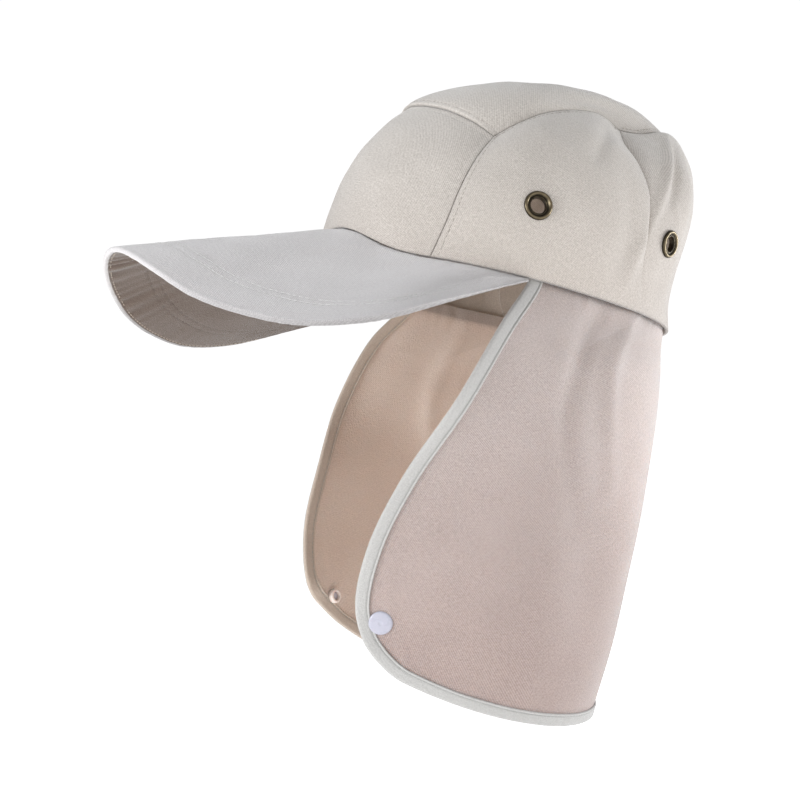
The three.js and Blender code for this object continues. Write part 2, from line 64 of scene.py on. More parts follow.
# Light: a white room that is dimmer overhead and a little brighter as a backdrop than as a light,
# with a broad lamp in front of the brow and a smaller one behind the nape, which picks out the folds.
class Wire:
    """A socket of a node tree, on which arithmetic adds the Math nodes that work it out."""

    def __init__(self, tree, socket=None):
        self.tree = tree
        self.socket = socket

    def node(self, kind, settings=None, sockets=None, result=0):
        """A new node with its settings and the values or links of its sockets, as its result's wire."""
        made = self.tree.nodes.new(kind)
        for name, value in (settings or {}).items():
            setattr(made, name, value)
        for name, value in (sockets or {}).items():
            if isinstance(value, Wire):
                self.tree.links.new(value.socket, made.inputs[name])
            else:
                made.inputs[name].default_value = value
        return Wire(self.tree, made.outputs[result])

    def math(self, operation, *values):
        return self.node("ShaderNodeMath", {"operation": operation}, dict(enumerate(values)))

    def sine(self):
        return self.math("SINE", self)

    def limited(self):
        return self.node("ShaderNodeClamp", {}, {"Value": self})

    def mixed(self, first, second):
        """The first colour where this value is 0 and the second where it is 1."""
        return self.node("ShaderNodeMix", {"data_type": "RGBA"}, {0: self, 6: first, 7: second}, 2)

    def noise(self, scale, detail):
        """Noise at the places that this wire gives."""
        return self.node("ShaderNodeTexNoise", {}, {"Vector": self, "Scale": scale, "Detail": detail})

    def bump(self, strength, distance):
        """A normal from this wire as a height."""
        sockets = {"Strength": strength, "Distance": distance, "Height": self}
        return self.node("ShaderNodeBump", {}, sockets)

    def into(self, owner, name):
        """Links this wire to a socket of a shader or of another node."""
        self.tree.links.new(self.socket, owner.inputs[name])

    def __add__(self, other):
        return self.math("ADD", self, other)

    def __sub__(self, other):
        return self.math("SUBTRACT", self, other)

    def __rsub__(self, other):
        return self.math("SUBTRACT", other, self)

    def __mul__(self, other):
        return self.math("MULTIPLY", self, other)

    __radd__ = __add__
    __rmul__ = __mul__


WHITE = (1, 1, 1, 1)
CEILING = (0.36, 0.37, 0.39, 1)
CEILING_FROM = 0.34
CEILING_EDGE = 2.4
ROOM_STRENGTH = 0.81
BACKDROP_GAIN = 0.22
studio = bpy.data.worlds.new("studio")
studio.use_nodes = True
background = studio.node_tree.nodes["Background"]
room = Wire(studio.node_tree)
overhead = room.node("ShaderNodeSeparateXYZ", {}, {0: room.node("ShaderNodeTexCoord")}, 2)
room_light = ((overhead - CEILING_FROM) * CEILING_EDGE).limited().mixed(WHITE, CEILING)
room_light.into(background, "Color")
(room.node("ShaderNodeLightPath") * BACKDROP_GAIN + ROOM_STRENGTH).into(background, "Strength")
bpy.context.scene.world = studio
bpy.context.scene.view_settings.view_transform = "Standard"


def add_lamp(name, place, aim, width, power):
    bpy.ops.object.light_add(type="AREA", location=place)
    lamp = bpy.context.object
    lamp.name = name
    lamp.data.shape = "DISK"
    lamp.data.size = width
    lamp.data.energy = power
    lamp.data.color = (0.94, 0.97, 1)
    lamp.rotation_euler = (Vector(aim) - Vector(place)).to_track_quat("-Z", "Y").to_euler()


add_lamp("lamp_before_brow", place=(0.3, -1.5, 0.12), aim=(0, -0.05, 0), width=0.8, power=14)
add_lamp("lamp_behind_nape", place=(0.36, 1.36, -0.06), aim=(0, 0.05, -0.08), width=0.45, power=10.5)

# Crown: five panels of plain cotton canvas, cut to shape and sewn edge to edge, with a front and
# a back panel, two sides and a top. Each swells between its seams, rolls under beside them and
# creases softly at the back, and the whole crown is worn tipped back.
MM = 0.001
HAT_TILT = math.radians(14)
HEAD_HALF_WIDTH = 80
HEAD_FRONT = 96
HEAD_BACK = 107
HEAD_POWER = 2.15
CORE_HEIGHT = 45
CORE_SHIFT = 3
TEMPLE_HEM = -4
BROW_ARCH = 12.5
BROW_END_ANGLE = 50
NAPE_RISE = 8
FRONT_SEAM_ANGLE = 50
BACK_SEAM_ANGLE = 119
WALL = 1.8
SEAM_ROLL = 0.55
# How far the painted shade beside a seam reaches.
SEAM_SHADE_REACH = 0.4
STITCH_IN = 3.4
SLOPE_STEP = 1e-3


def unit(vectors):
    return vectors / np.linalg.norm(vectors, axis=-1, keepdims=True)


def mirrored(points):
    return points * (-1, 1, 1)


def tilted(points):
    x, y, z = np.moveaxis(points, -1, 0)
    cosine = math.cos(HAT_TILT)
    sine = math.sin(HAT_TILT)
    return np.stack([x, y * cosine + z * sine, z * cosine - y * sine], -1)


def eased(value):
    value = np.clip(value, 0, 1)
    return value ** 3 * (value * (value * 6 - 15) + 10)


def bell(value, width):
    """1 where the value is 0, and next to nothing at twice the width on either side."""
    return np.exp(-((value / width) ** 2))


def clear_of(distance, reach):
    """0 on a seam or an edge and nearly 1 well past the reach from it."""
    return 1 - np.exp(-distance / reach)


def bent(start, end, leave, arrive, part):
    """Places between two points of a curve that leaves and arrives in the given directions."""
    square = 3 * (end - start) - 2 * leave - arrive
    cube = 2 * (start - end) + leave + arrive
    return start + leave * part + square * part ** 2 + cube * part ** 3


def curve_through(points):
    """A smooth line through points, for shares of its way from 0 to 1."""
    points = np.asarray(points, float)
    guided = np.array([2 * points[0] - points[1], *points, 2 * points[-1] - points[-2]])

    def at(share):
        place = (len(points) - 1) * np.clip(share, 0, 1)
        first = np.minimum(place.astype(int), len(points) - 2)
        part = (place - first)[..., None]
        before, start, end, after = (guided[first + step] for step in range(4))
        return bent(start, end, (end - before) / 2, (after - start) / 2, part)

    return at


def inward(points):
    """The way from the crown's cloth towards the core of the hat."""
    core = np.zeros_like(points)
    core[..., 1] = CORE_SHIFT
    core[..., 2] = np.minimum(points[..., 2], CORE_HEIGHT)
    return unit(core - points)


def rim_point(degrees, inset=0, lift=0):
    """A point of the head opening, with angles from the front towards the wearer's left."""
    degrees = np.asarray(degrees, float)
    folded = np.abs((degrees + 180) % 360 - 180)
    angle = np.radians(degrees)
    sine = np.sin(angle)
    cosine = np.cos(angle)
    across = HEAD_HALF_WIDTH * np.sign(sine) * np.abs(sine) ** (2 / HEAD_POWER)
    length = np.where(cosine > 0, HEAD_FRONT, HEAD_BACK)
    back = -length * np.sign(cosine) * np.abs(cosine) ** (2 / HEAD_POWER)
    brow = BROW_ARCH * (1 - eased(folded / BROW_END_ANGLE))
    height = TEMPLE_HEM + brow + NAPE_RISE * ((1 - np.cos(np.radians(folded))) / 2) ** 2
    point = np.stack([across, back, height], -1)
    point = point + inward(point) * inset
    point[..., 2] += lift
    return point


def rim_arc(start, end):
    return lambda share: rim_point(start + (end - start) * share)


def reversed_line(line):
    return lambda share: line(1 - share)


def mirrored_line(line):
    return lambda share: mirrored(line(share))


def patch_between(bottom, top, left, right):
    """Cloth stretched between four lines that meet at its corners."""

    def at(u, v):
        across = u[..., None]
        up = v[..., None]
        nought = np.zeros(1)
        one = np.ones(1)
        lines = bottom(u) * (1 - up) + top(u) * up + left(v) * (1 - across) + right(v) * across
        low = bottom(nought) * (1 - across) + bottom(one) * across
        high = top(nought) * (1 - across) + top(one) * across
        return lines - low * (1 - up) - high * up

    return at


def filled_out(patch, bulge, crest, folds=()):
    """A patch swollen by bulge, fullest past the middle where crest is above 1, with folds, each
    of which has a place across, a slant, a depth and a width."""

    def at(u, v):
        points = patch(u, v)
        risen = np.sin(math.pi * np.maximum(0, v) ** crest)
        swell = np.maximum(0, np.sin(math.pi * u) * risen) ** 0.75
        fold = np.zeros_like(u)
        for place, slant, depth, width in folds:
            fold += depth * bell(u - place - slant * (v - 0.5), width)
        fold *= np.sin(math.pi * v) * np.minimum(1, 8 * u * (1 - u))
        return points - inward(points) * (bulge * swell + fold)[..., None]

    return at


front_corner = (54, -41, 67)
back_corner = (43, 36, 99.5)
front_side = curve_through([
    rim_point(FRONT_SEAM_ANGLE), (66, -61, 14), (65, -57.5, 32), (61, -51, 50), front_corner,
])
back_side = curve_through([
    rim_point(BACK_SEAM_ANGLE), (76, 47, 18), (78, 44, 40), (74.5, 42.5, 60), (66, 38, 76),
    (54, 34.5, 88.5), back_corner,
])
top_side = curve_through([
    front_corner, (54, -28, 79), (52, -13, 90), (48, 6, 99), (44, 22, 103), back_corner,
])


def crossing(corner, middle):
    """A seam over the middle of the hat, from the wearer's right corner to the left one."""
    half = np.array([corner, *middle])
    return curve_through([*mirrored(half[:-1]), *half[::-1]])


front_top = crossing(front_corner, [(44, -51, 74), (26, -61.5, 81), (0, -69, 85)])
top_back = crossing(back_corner, [(40.5, 50, 102.5), (34.5, 64, 109.5), (20, 81, 115), (0, 88, 116.5)])

front_rim = rim_arc(-FRONT_SEAM_ANGLE, FRONT_SEAM_ANGLE)
front_surface = filled_out(
    patch_between(front_rim, front_top, mirrored_line(front_side), front_side), bulge=3.5, crest=1,
)
side_rim = rim_arc(FRONT_SEAM_ANGLE, BACK_SEAM_ANGLE)
side_surface = filled_out(patch_between(side_rim, top_side, front_side, back_side), bulge=6, crest=1)
top_surface = filled_out(
    patch_between(front_top, top_back, mirrored_line(top_side), top_side), bulge=10.6, crest=0.68,
)
BACK_FOLDS = [
    (0.13, 0.3, 2.4, 0.07), (0.27, 0.2, -2.6, 0.08), (0.73, -0.2, -2.4, 0.08), (0.87, -0.3, 2.2, 0.07),
]
back_rim = rim_arc(BACK_SEAM_ANGLE, 360 - BACK_SEAM_ANGLE)
back_surface = filled_out(
    patch_between(back_rim, reversed_line(top_back), back_side, mirrored_line(back_side)),
    bulge=18, crest=1.85, folds=BACK_FOLDS,
)


def right_side_surface(u, v):
    return mirrored(side_surface(1 - u, v))


def lines_between(length, step, ends=(0.03, 0.12, 0.3, 0.6, 1, 1.5, 2, 2.6, 3.1, 3.4, 3.8, 4.8)):
    """Shares of a length for the lines of a grid, close together beside both ends."""
    near = np.array(ends) / length
    middle = np.linspace(near[-1], 1 - near[-1], max(2, round(length * (1 - 2 * near[-1]) / step)))
    return np.concatenate([near[:-1], middle, 1 - near[-2::-1]])


def lengths_along(points, axis):
    """The length of cloth from the first line of a grid to each of its points."""
    steps = np.linalg.norm(np.diff(points, axis=axis), axis=-1)
    start = np.zeros_like(np.take(steps, [0], axis=axis))
    return np.cumsum(np.concatenate([start, steps], axis=axis), axis=axis)


def centred(lengths):
    """Lengths counted from the middle column of their grid."""
    return lengths - lengths[:, lengths.shape[1] // 2][:, None]


def new_material(name, values):
    """A material, its Principled node with these values, and a wire for building in its tree."""
    material = bpy.data.materials.new(name)
    material.use_nodes = True
    shader = material.node_tree.nodes["Principled BSDF"]
    for socket, value in values.items():
        shader.inputs[socket].default_value = value
    return material, shader, Wire(material.node_tree)


def linear(red, green, blue):
    """A colour as the eye reads it, from 0 to 255, as the light it stands for."""
    shares = [value / 255 for value in (red, green, blue)]
    return (*[s / 12.92 if s <= 0.04045 else ((s + 0.055) / 1.055) ** 2.4 for s in shares], 1)


SLUB_TINT = 1.8
BLOTCH_TINT = 0.5
SPECK_TINT = 1.6
CROSSING_TINT = 0.7
CROSSING_HEIGHT = 0.3
# How strongly cloth takes the painted shade and painted highlight that it carries; the eyelets' brass reads
# the same attribute as tarnish.
PAINTED_SHADE_STRENGTH = 0.5


def canvas(name, colour, shade, pitch=1.1, low=None, heights=(0, 0.1), clear=0.0):
    """Plain-woven cotton: threads over and under each other, uneven in thickness and tint. It is
    multiplied by the colour low at the lower of two heights, a painted shade towards the bottom, and by
    the painted shade and painted highlight that the cloth carries, and lets light through where clear."""
    material, shader, wire = new_material(name, {
        "Roughness": 0.9, "Specular IOR Level": 0.3, "Sheen Weight": 0.6, "Sheen Roughness": 0.4,
        "Subsurface Weight": clear, "Subsurface Radius": (0.003, 0.0022, 0.0017), "Subsurface Scale": 1,
    })
    place = wire.node("ShaderNodeUVMap", {"uv_map": "UVMap"})
    across = wire.node("ShaderNodeSeparateXYZ", {}, {0: place})
    up = Wire(wire.tree, across.socket.node.outputs[1])

    def slubs(way):
        stretched = wire.node("ShaderNodeMapping", {}, {"Vector": place, "Scale": way})
        return stretched.noise(1, 2)

    warp_slubs = slubs((1500, 400, 1))
    weft_slubs = slubs((400, 1500, 1))
    turns = math.tau / (pitch * MM)
    crossings = (across * turns).sine() * (up * turns).sine()
    grain = ((warp_slubs + weft_slubs) * 0.5 - 0.5) * SLUB_TINT
    grain = grain + (place.noise(35, 3) - 0.5) * BLOTCH_TINT + (place.noise(1000, 1) - 0.5) * SPECK_TINT
    tint = (grain + crossings * CROSSING_TINT + 0.5).limited().mixed(shade, colour)
    # Painted shade towards the bottom, by the colour low.
    if low is not None:
        spot = wire.node("ShaderNodeTexCoord", {}, {}, 3)
        height = wire.node("ShaderNodeSeparateXYZ", {}, {0: spot}, 2)
        risen = ((height - heights[0]) * (1 / (heights[1] - heights[0]))).limited().mixed(low, WHITE)
        tint = wire.node("ShaderNodeVectorMath", {"operation": "MULTIPLY"}, {0: risen, 1: tint})
    # Painted shade where the attribute is above 0, and painted highlight where it is below 0.
    painted_shade_and_tarnish = wire.node("ShaderNodeAttribute", {"attribute_name": "painted_shade_and_tarnish"}, {}, 2)
    lightness = 1 - painted_shade_and_tarnish * PAINTED_SHADE_STRENGTH
    final = wire.node("ShaderNodeVectorMath", {"operation": "MULTIPLY"}, {0: tint, 1: lightness})
    final.into(shader, "Base Color")
    threads = crossings * CROSSING_HEIGHT + warp_slubs + weft_slubs
    threads.bump(0.7, 0.0004).into(shader, "Normal")
    return material


def select_only(*pieces):
    """Deselects everything, then selects the pieces, the first of them as the active one."""
    bpy.ops.object.select_all(action="DESELECT")
    for piece in pieces:
        piece.select_set(True)
        bpy.context.view_layer.objects.active = pieces[0]


def lay_cloth(name, outer, inner, pattern, painted_shading, *cloths):
    """Cloth between two grids of points in millimetres, with its pattern map in metres, painted shading
    (painted shade where above 0 and painted highlight where below 0) and the materials of its outer face and
    of its inner one."""
    rows = outer.shape[0] - 1
    columns = outer.shape[1] - 1
    select_only()
    bpy.ops.mesh.primitive_grid_add(x_subdivisions=columns, y_subdivisions=rows, size=1)
    cloth = bpy.context.object
    cloth.name = name
    mesh = cloth.data
    mesh.name = name
    flat = np.empty(len(mesh.vertices) * 3)
    mesh.vertices.foreach_get("co", flat)
    flat = flat.reshape(-1, 3)
    column = np.rint((flat[:, 0] + 0.5) * columns).astype(int)
    row = np.rint((flat[:, 1] + 0.5) * rows).astype(int)
    mesh.vertices.foreach_set("co", (outer[row, column] * MM).ravel())
    corners = np.empty(len(mesh.loops), int)
    mesh.loops.foreach_get("vertex_index", corners)
    mapped = pattern[row, column][corners] * MM
    mesh.uv_layers.active.data.foreach_set("uv", mapped.ravel())
    # The painted shade and painted highlight go on the cloth as an attribute.
    mesh.attributes.new("painted_shade_and_tarnish", "FLOAT", "POINT").data.foreach_set("value", painted_shading[row, column])
    for cloth_material in cloths:
        mesh.materials.append(cloth_material)
    wall = cloth.modifiers.new("wall", "SOLIDIFY")
    wall.thickness = MM
    wall.material_offset = 1
    bpy.ops.object.modifier_apply(modifier=wall.name)
    both = np.concatenate([outer[row, column], inner[row, column]]) * MM
    mesh.vertices.foreach_set("co", both.ravel())
    mesh.update()
    bpy.ops.object.shade_smooth()
    return cloth


def line_distance(points, line):
    """The distance of each point from a bent line, in millimetres, and its share of the way."""
    best = np.full(points.shape[:-1], 1e9)
    share = np.zeros(points.shape[:-1])
    for step in range(len(line) - 1):
        start = line[step]
        along = line[step + 1] - start
        part = np.clip(((points - start) @ along) / (along @ along), 0, 1)
        away = np.linalg.norm(points - start - part[..., None] * along, axis=-1)
        nearer = away < best
        best = np.where(nearer, away, best)
        share = np.where(nearer, (step + part) / (len(line) - 1), share)
    return best, share


def creased(surface, points, creases):
    """The height of soft creases, each a line of places on the surface with a height and width."""
    height = np.zeros(points.shape[:-1])
    for places, rise, width in creases:
        across, up = np.array(places, float).T
        stops = surface(across, up)
        line = curve_through(stops)(np.linspace(0, 1, 12)) if len(stops) > 2 else stops
        away, share = line_distance(points, line)
        height += rise * bell(away, width) * np.sin(math.pi * (0.12 + 0.76 * share))
    return height


def rippled(along, wave, seed):
    """An uneven ripple along a seam, from -1 to 1."""
    wander = 1.9 * np.sin(along / wave / 0.71 + seed * 2.1) + 1.1 * np.sin(along / wave / 1.7 + seed)
    return np.sin(math.tau * along / wave + wander) * (0.6 + 0.4 * np.sin(along / wave / 0.9 + seed * 3))


def wavy(across, up, seed):
    """The slight unevenness of cloth that nothing stretches, from about -1 to 1."""
    first = np.sin(across / 8.3 + seed + 1.2 * np.sin(up / 11)) * np.sin(up / 9.1 + seed * 2)
    second = np.sin((across + up) / 5.7 + seed * 3 + np.sin(across / 13)) * np.sin((across - up) / 12 + seed)
    return 0.6 * first + 0.4 * second


def seam_relief(distance, along, seed, lap=0.0):
    """Cloth beside a seam: rolled under, drawn down by its topstitching, and puckered."""
    near = np.clip(1 - distance / SEAM_ROLL, 0, 1)
    roll = -SEAM_ROLL * (1 - np.sqrt(1 - near ** 2))
    channel = -0.16 * bell(distance - STITCH_IN, 0.5)
    pucker = 0.2 * rippled(along, 6.5, seed) * np.exp(-distance / 6) * clear_of(distance, 0.7)
    return roll + channel + pucker + lap * bell(distance, 1.6)


def crown_panel(name, surface, size, creases, seed, laps=(0, 0), fading=""):
    """One panel of a width and height, with its creases. laps lift it along its bottom and top and give
    the lifted edge a painted highlight, and the seams named in fading, L or R, close up towards the hem,
    where their painted shade fades out too."""
    u, v = np.meshgrid(lines_between(size[0], 1.5), lines_between(size[1], 1.5))
    base = surface(u, v)
    out = -inward(base)
    left = lengths_along(base, 1)
    bottom = lengths_along(base, 0)
    right = left[:, -1:] - left
    top = bottom[-1:] - bottom
    across = centred(left)
    nearest = np.minimum(np.minimum(left, right), np.minimum(bottom, top))
    open_left, open_right = (eased((v - 0.66) / 0.34) if side in fading else 1 for side in "LR")
    large = creased(surface, base, creases) * clear_of(nearest, 1.5)
    large += 0.45 * wavy(across, bottom, seed) * clear_of(nearest, 9)
    fine = seam_relief(left, bottom, seed + 1) * open_left + seam_relief(right, bottom, seed + 2) * open_right
    hem = 1 if laps[0] else 0.4
    fine += hem * seam_relief(bottom, across, seed + 3, laps[0]) + seam_relief(top, across, seed + 4, laps[1])
    outer = tilted(base + out * (large + np.maximum(fine, -1.0))[..., None])
    inner = tilted(base + out * (large - WALL)[..., None])
    # Painted shade along the seams and the hem, and a painted highlight along the lifted edges of the laps.
    painted_shading = np.maximum(np.exp(-left / SEAM_SHADE_REACH) * open_left, np.exp(-right / SEAM_SHADE_REACH) * open_right)
    painted_shading = 0.75 * np.maximum(painted_shading, np.exp(-np.minimum(bottom, top) / SEAM_SHADE_REACH))
    for edge, lap in zip((bottom, top), laps):
        painted_shading -= 0.45 * lap * bell(edge - 1.2, 0.6)
    pattern = np.stack([across, bottom], -1)
    return lay_cloth(name, outer, inner, pattern, painted_shading, crown_canvas, crown_inside)


# The crown's canvas is darker and warmer towards the hem: painted shade.
crown_canvas = canvas(
    "crown_canvas", linear(220, 214, 207), linear(184, 177, 169),
    low=(0.97, 0.94, 0.93, 1), heights=(0, 0.11),
)
crown_inside = canvas("crown_inside_canvas", linear(212, 200, 188), linear(190, 178, 166))
SIDE_CREASES = [
    ([(0.81, 0.56), (0.855, 0.308), (0.80, 0.1)], -1.2, 7),
    ([(0.82, 0.88), (0.70, 0.675), (0.62, 0.54)], -1.2, 4),
    ([(0.70, 0.86), (0.60, 0.69)], 1.0, 6),
    ([(1.0, 0.38), (0.967, 0.283), (0.929, 0.225), (0.88, 0.10)], 1.7, 4.2),
]
BACK_CREASES = [
    ([(0.205, 0.9), (0.163, 0.792), (0.121, 0.708), (0.083, 0.608), (0.046, 0.517), (0.0, 0.34)], 2.4, 3),
    ([(0.185, 0.80), (0.113, 0.6), (0.075, 0.48)], -1.7, 2.5),
    ([(0.10, 0.97), (0.17, 0.95), (0.26, 0.93)], 2.0, 5),
    ([(0.19, 0.62), (0.165, 0.45), (0.16, 0.25), (0.16, 0.1)], 2.6, 7.5),
    ([(0.088, 0.5), (0.117, 0.40)], 0.6, 1.8),
    ([(0.02, 0.175), (0.1, 0.175)], -0.4, 1.5),
]
TOP_CREASES = [
    ([(0.871, 0.42), (0.871, 0.575), (0.85, 0.70)], -1.2, 4),
    ([(0.875, 0.64), (0.858, 0.8), (0.80, 0.92)], -1.2, 5),
]


def other_side(creases, gain=1):
    return [([(1 - u, v) for u, v in places], gain * rise, width) for places, rise, width in creases]


def on_both_sides(creases):
    """Creases with their mirror images, which are a little weaker."""
    return creases + other_side(creases, 0.8)


panels = {
    "crown_" + name: crown_panel(name, *cut) for name, *cut in (
        ("front_panel", front_surface, (150, 84), [], 0.4),
        ("top_panel", top_surface, (140, 150), on_both_sides(TOP_CREASES), 1.3, (0.7, 0.7)),
        ("side_panel_left", side_surface, (110, 100), SIDE_CREASES, 2.7, (0, 0), "R"),
        ("side_panel_right", right_side_surface, (110, 100), other_side(SIDE_CREASES), 3.9, (0, 0), "L"),
        ("back_panel", back_surface, (205, 120), on_both_sides(BACK_CREASES), 5.2, (0, 0), "LR"),
    )
}
for node, panel in panels.items():
    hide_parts(node)
    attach(panel, "root")

# Eyelets: pressed brass with a dark antique finish, two in the side panels and two in the back
# one. Each has a round-edged outer ring, a step down to its barrel and a clinched inner ring.
EYELET_SIDE = (0.41, 0.33)
EYELET_BACK = (0.093, 0.32)
EYELET_HOLE = 4.95
EYELET_PROFILE = [
    (3.9, -2.3), (3.9, 0.15), (4.0, 0.5), (4.25, 0.68), (4.55, 0.62), (4.75, 0.42), (4.95, 0.4),
    (5.2, 0.66), (5.5, 1.05), (5.85, 1.35), (6.2, 1.45), (6.55, 1.36), (6.85, 1.1), (7.08, 0.75),
    (7.2, 0.35), (7.2, 0.0), (7.1, -0.2), (6.8, -0.25), (5.0, -0.25), (4.75, -0.4), (4.75, -1.75),
    (5.0, -1.86), (5.9, -1.88), (6.15, -2.02), (6.1, -2.3), (5.7, -2.5), (4.6, -2.6), (4.1, -2.52),
]


def normals_of(surface, u, v):
    v = np.clip(v, 2 * SLOPE_STEP, 1 - 2 * SLOPE_STEP)
    across = surface(u + SLOPE_STEP, v) - surface(u - SLOPE_STEP, v)
    up = surface(u, v + SLOPE_STEP) - surface(u, v - SLOPE_STEP)
    return unit(np.cross(across, up))


def creased_back(u, v):
    base = back_surface(u, v)
    return base - inward(base) * creased(back_surface, base, on_both_sides(BACK_CREASES))[..., None]


def place_on(surface, across, up):
    """A place of the crown and the way out of it, in metres."""
    u = np.array([across])
    v = np.array([up])
    point = tilted(surface(u, v))[0] * MM
    return Vector(point), Vector(tilted(normals_of(surface, u, v))[0])


def spun(name, profile, place, out, closed=True, recess=None):
    """A round piece turned from rows of radius and height, set at a place, facing out."""
    select_only()
    bpy.ops.mesh.primitive_circle_add(vertices=len(profile), radius=1)
    piece = bpy.context.object
    piece.name = name
    mesh = piece.data
    mesh.name = name
    for vertex, (radius, height) in zip(mesh.vertices, profile):
        vertex.co = (radius * MM, 0, height * MM)
    if not closed:
        ends = {0, len(profile) - 1}
        for vertex in mesh.vertices:
            vertex.select = False
        for edge in mesh.edges:
            edge.select = set(edge.vertices) == ends
        bpy.ops.object.mode_set(mode="EDIT")
        bpy.ops.mesh.select_mode(type="EDGE")
        bpy.ops.mesh.delete(type="EDGE")
        bpy.ops.object.mode_set(mode="OBJECT")
    bpy.ops.object.mode_set(mode="EDIT")
    bpy.ops.mesh.select_mode(type="VERT")
    bpy.ops.mesh.select_all(action="SELECT")
    bpy.ops.mesh.spin(steps=56, angle=math.tau, center=(0, 0, 0), axis=(0, 0, 1))
    bpy.ops.mesh.select_all(action="SELECT")
    bpy.ops.mesh.remove_doubles(threshold=1e-6)
    bpy.ops.mesh.dissolve_degenerate(threshold=1e-7)
    bpy.ops.mesh.normals_make_consistent(inside=False)
    bpy.ops.object.mode_set(mode="OBJECT")
    if recess is not None:
        shade = mesh.attributes.new("painted_shade_and_tarnish", "FLOAT", "POINT")
        for vertex, mark in zip(mesh.vertices, shade.data):
            mark.value = recess(math.hypot(vertex.co.x, vertex.co.y) / MM, vertex.co.z / MM)
    turn = Vector((0, 0, 1)).rotation_difference(out).to_matrix().to_4x4()
    mesh.transform(Matrix.Translation(place) @ turn)
    bpy.ops.object.shade_smooth_by_angle(angle=math.radians(50))
    return piece


def eyelet_recess(radius, height):
    """How deep in tarnish a place of the eyelet lies, from 0 on its crest to 1 inside."""
    return min(1.0, max(0.0, (1.35 - height) / 1.1))


brass, brass_shader, wire = new_material("antique_brass", {"Metallic": 1})
recessed = wire.node("ShaderNodeAttribute", {"attribute_name": "painted_shade_and_tarnish"}, {}, 2)
rubbed = wire.node("ShaderNodeTexCoord", {}, {}, 3).noise(420, 4)
tarnish = (recessed * 0.9 + (rubbed - 0.5) * 0.9 + 0.34).limited()
brass_tint = tarnish.mixed((0.25, 0.2, 0.125, 1), (0.045, 0.037, 0.026, 1))
brass_tint.into(brass_shader, "Base Color")
(tarnish * 0.22 + 0.22).into(brass_shader, "Roughness")
rubbed.bump(0.25, 0.0002).into(brass_shader, "Normal")

side_across, side_up = EYELET_SIDE
back_across, back_up = EYELET_BACK
eyelet_seats = {
    "eyelet_side_left": ("crown_side_panel_left", side_surface, side_across, side_up),
    "eyelet_side_right": ("crown_side_panel_right", right_side_surface, 1 - side_across, side_up),
    "eyelet_back_left": ("crown_back_panel", creased_back, back_across, back_up),
    "eyelet_back_right": ("crown_back_panel", creased_back, 1 - back_across, back_up),
}


def punched(cloth, place, out, radius):
    """A round hole through cloth, cut square to its face."""
    select_only()
    turn = Vector((0, 0, 1)).rotation_difference(out).to_euler()
    bpy.ops.mesh.primitive_cylinder_add(
        vertices=40, radius=radius * MM, depth=0.012, location=place, rotation=turn,
    )
    punch = bpy.context.object
    select_only(cloth)
    cut = cloth.modifiers.new("hole", "BOOLEAN")
    cut.operation = "DIFFERENCE"
    cut.object = punch
    bpy.ops.object.modifier_apply(modifier=cut.name)
    bpy.data.objects.remove(punch)


for node, (panel, surface, across, up) in eyelet_seats.items():
    seat, outwards = place_on(surface, across, up)
    punched(panels[panel], seat, outwards, EYELET_HOLE)
    ring = spun(node.replace("eyelet", "brass_eyelet"), EYELET_PROFILE, seat, outwards, recess=eyelet_recess)
    ring.data.materials.append(brass)
    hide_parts(node)
    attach(ring, "root")

# Topstitching of the crown: cotton thread in the cloth's own colour, a stitch every three
# millimetres or so, sunk in its channel beside the seams.
STITCH_PITCH = 2.9
STITCH_SINK = 0.22


def stitch_row(name, line, pitch=STITCH_PITCH, width=0.4):
    """Stitches along a line of points in millimetres, one modelled and repeated along a guide."""
    lengths = np.linalg.norm(np.diff(line, axis=0), axis=1)
    guide_curve = bpy.data.curves.new("guide", "CURVE")
    guide_curve.dimensions = "3D"
    spline = guide_curve.splines.new("POLY")
    spline.points.add(len(line) - 1)
    spline.points.foreach_set("co", np.column_stack([line * MM, np.ones(len(line))]).ravel())
    guide = bpy.data.objects.new("guide", guide_curve)
    bpy.context.scene.collection.objects.link(guide)
    select_only()
    half = 0.4 * pitch * MM
    bpy.ops.mesh.primitive_uv_sphere_add(
        segments=6, ring_count=4, radius=1, location=(half, 0, 0), rotation=(0, math.pi / 2, 0),
        scale=(width / 2 * MM, width / 2 * MM, half),
    )
    bpy.ops.object.transform_apply(location=True, rotation=True, scale=True)
    row = bpy.context.object
    row.name = name
    row.data.name = name
    bpy.ops.object.shade_smooth()
    repeat = row.modifiers.new("repeat", "ARRAY")
    repeat.count = max(1, int(lengths.sum() / pitch))
    repeat.use_relative_offset = False
    repeat.use_constant_offset = True
    repeat.constant_offset_displace = (pitch * MM, 0, 0)
    follow = row.modifiers.new("follow", "CURVE")
    follow.object = guide
    follow.deform_axis = "POS_X"
    bpy.ops.object.modifier_apply(modifier=repeat.name)
    bpy.ops.object.modifier_apply(modifier=follow.name)
    bpy.data.objects.remove(guide)
    return row


def joined(name, pieces):
    select_only(*pieces)
    bpy.ops.object.join()
    pieces[0].name = name
    pieces[0].data.name = name
    return pieces[0]


def seam_line(surface, side, inset, count=90):
    """A line on a panel beside one of its sides, inset in millimetres from the seam."""
    share = np.linspace(0.012, 0.988, count)
    edge, step = (0.0, 0.02) if side in ("left", "bottom") else (1.0, -0.02)

    def points_in(reach):
        near = np.full(count, edge) + reach
        return surface(near, share) if side in ("left", "right") else surface(share, near)

    points = points_in(inset / np.linalg.norm(points_in(step) - points_in(0), axis=-1) * step)
    return tilted(points + inward(points) * STITCH_SINK)


def put_in_thread(stitches, name, colour, shade):
    """Gives stitches their spun cotton, with fine fibres and a slight unevenness of tint."""
    material, shader, wire = new_material(name, {"Roughness": 0.7})
    fibres = wire.node("ShaderNodeTexCoord", {}, {}, 3).noise(2500, 2)
    fibres.mixed(shade, colour).into(shader, "Base Color")
    fibres.bump(0.3, 0.0001).into(shader, "Normal")
    stitches.data.materials.append(material)


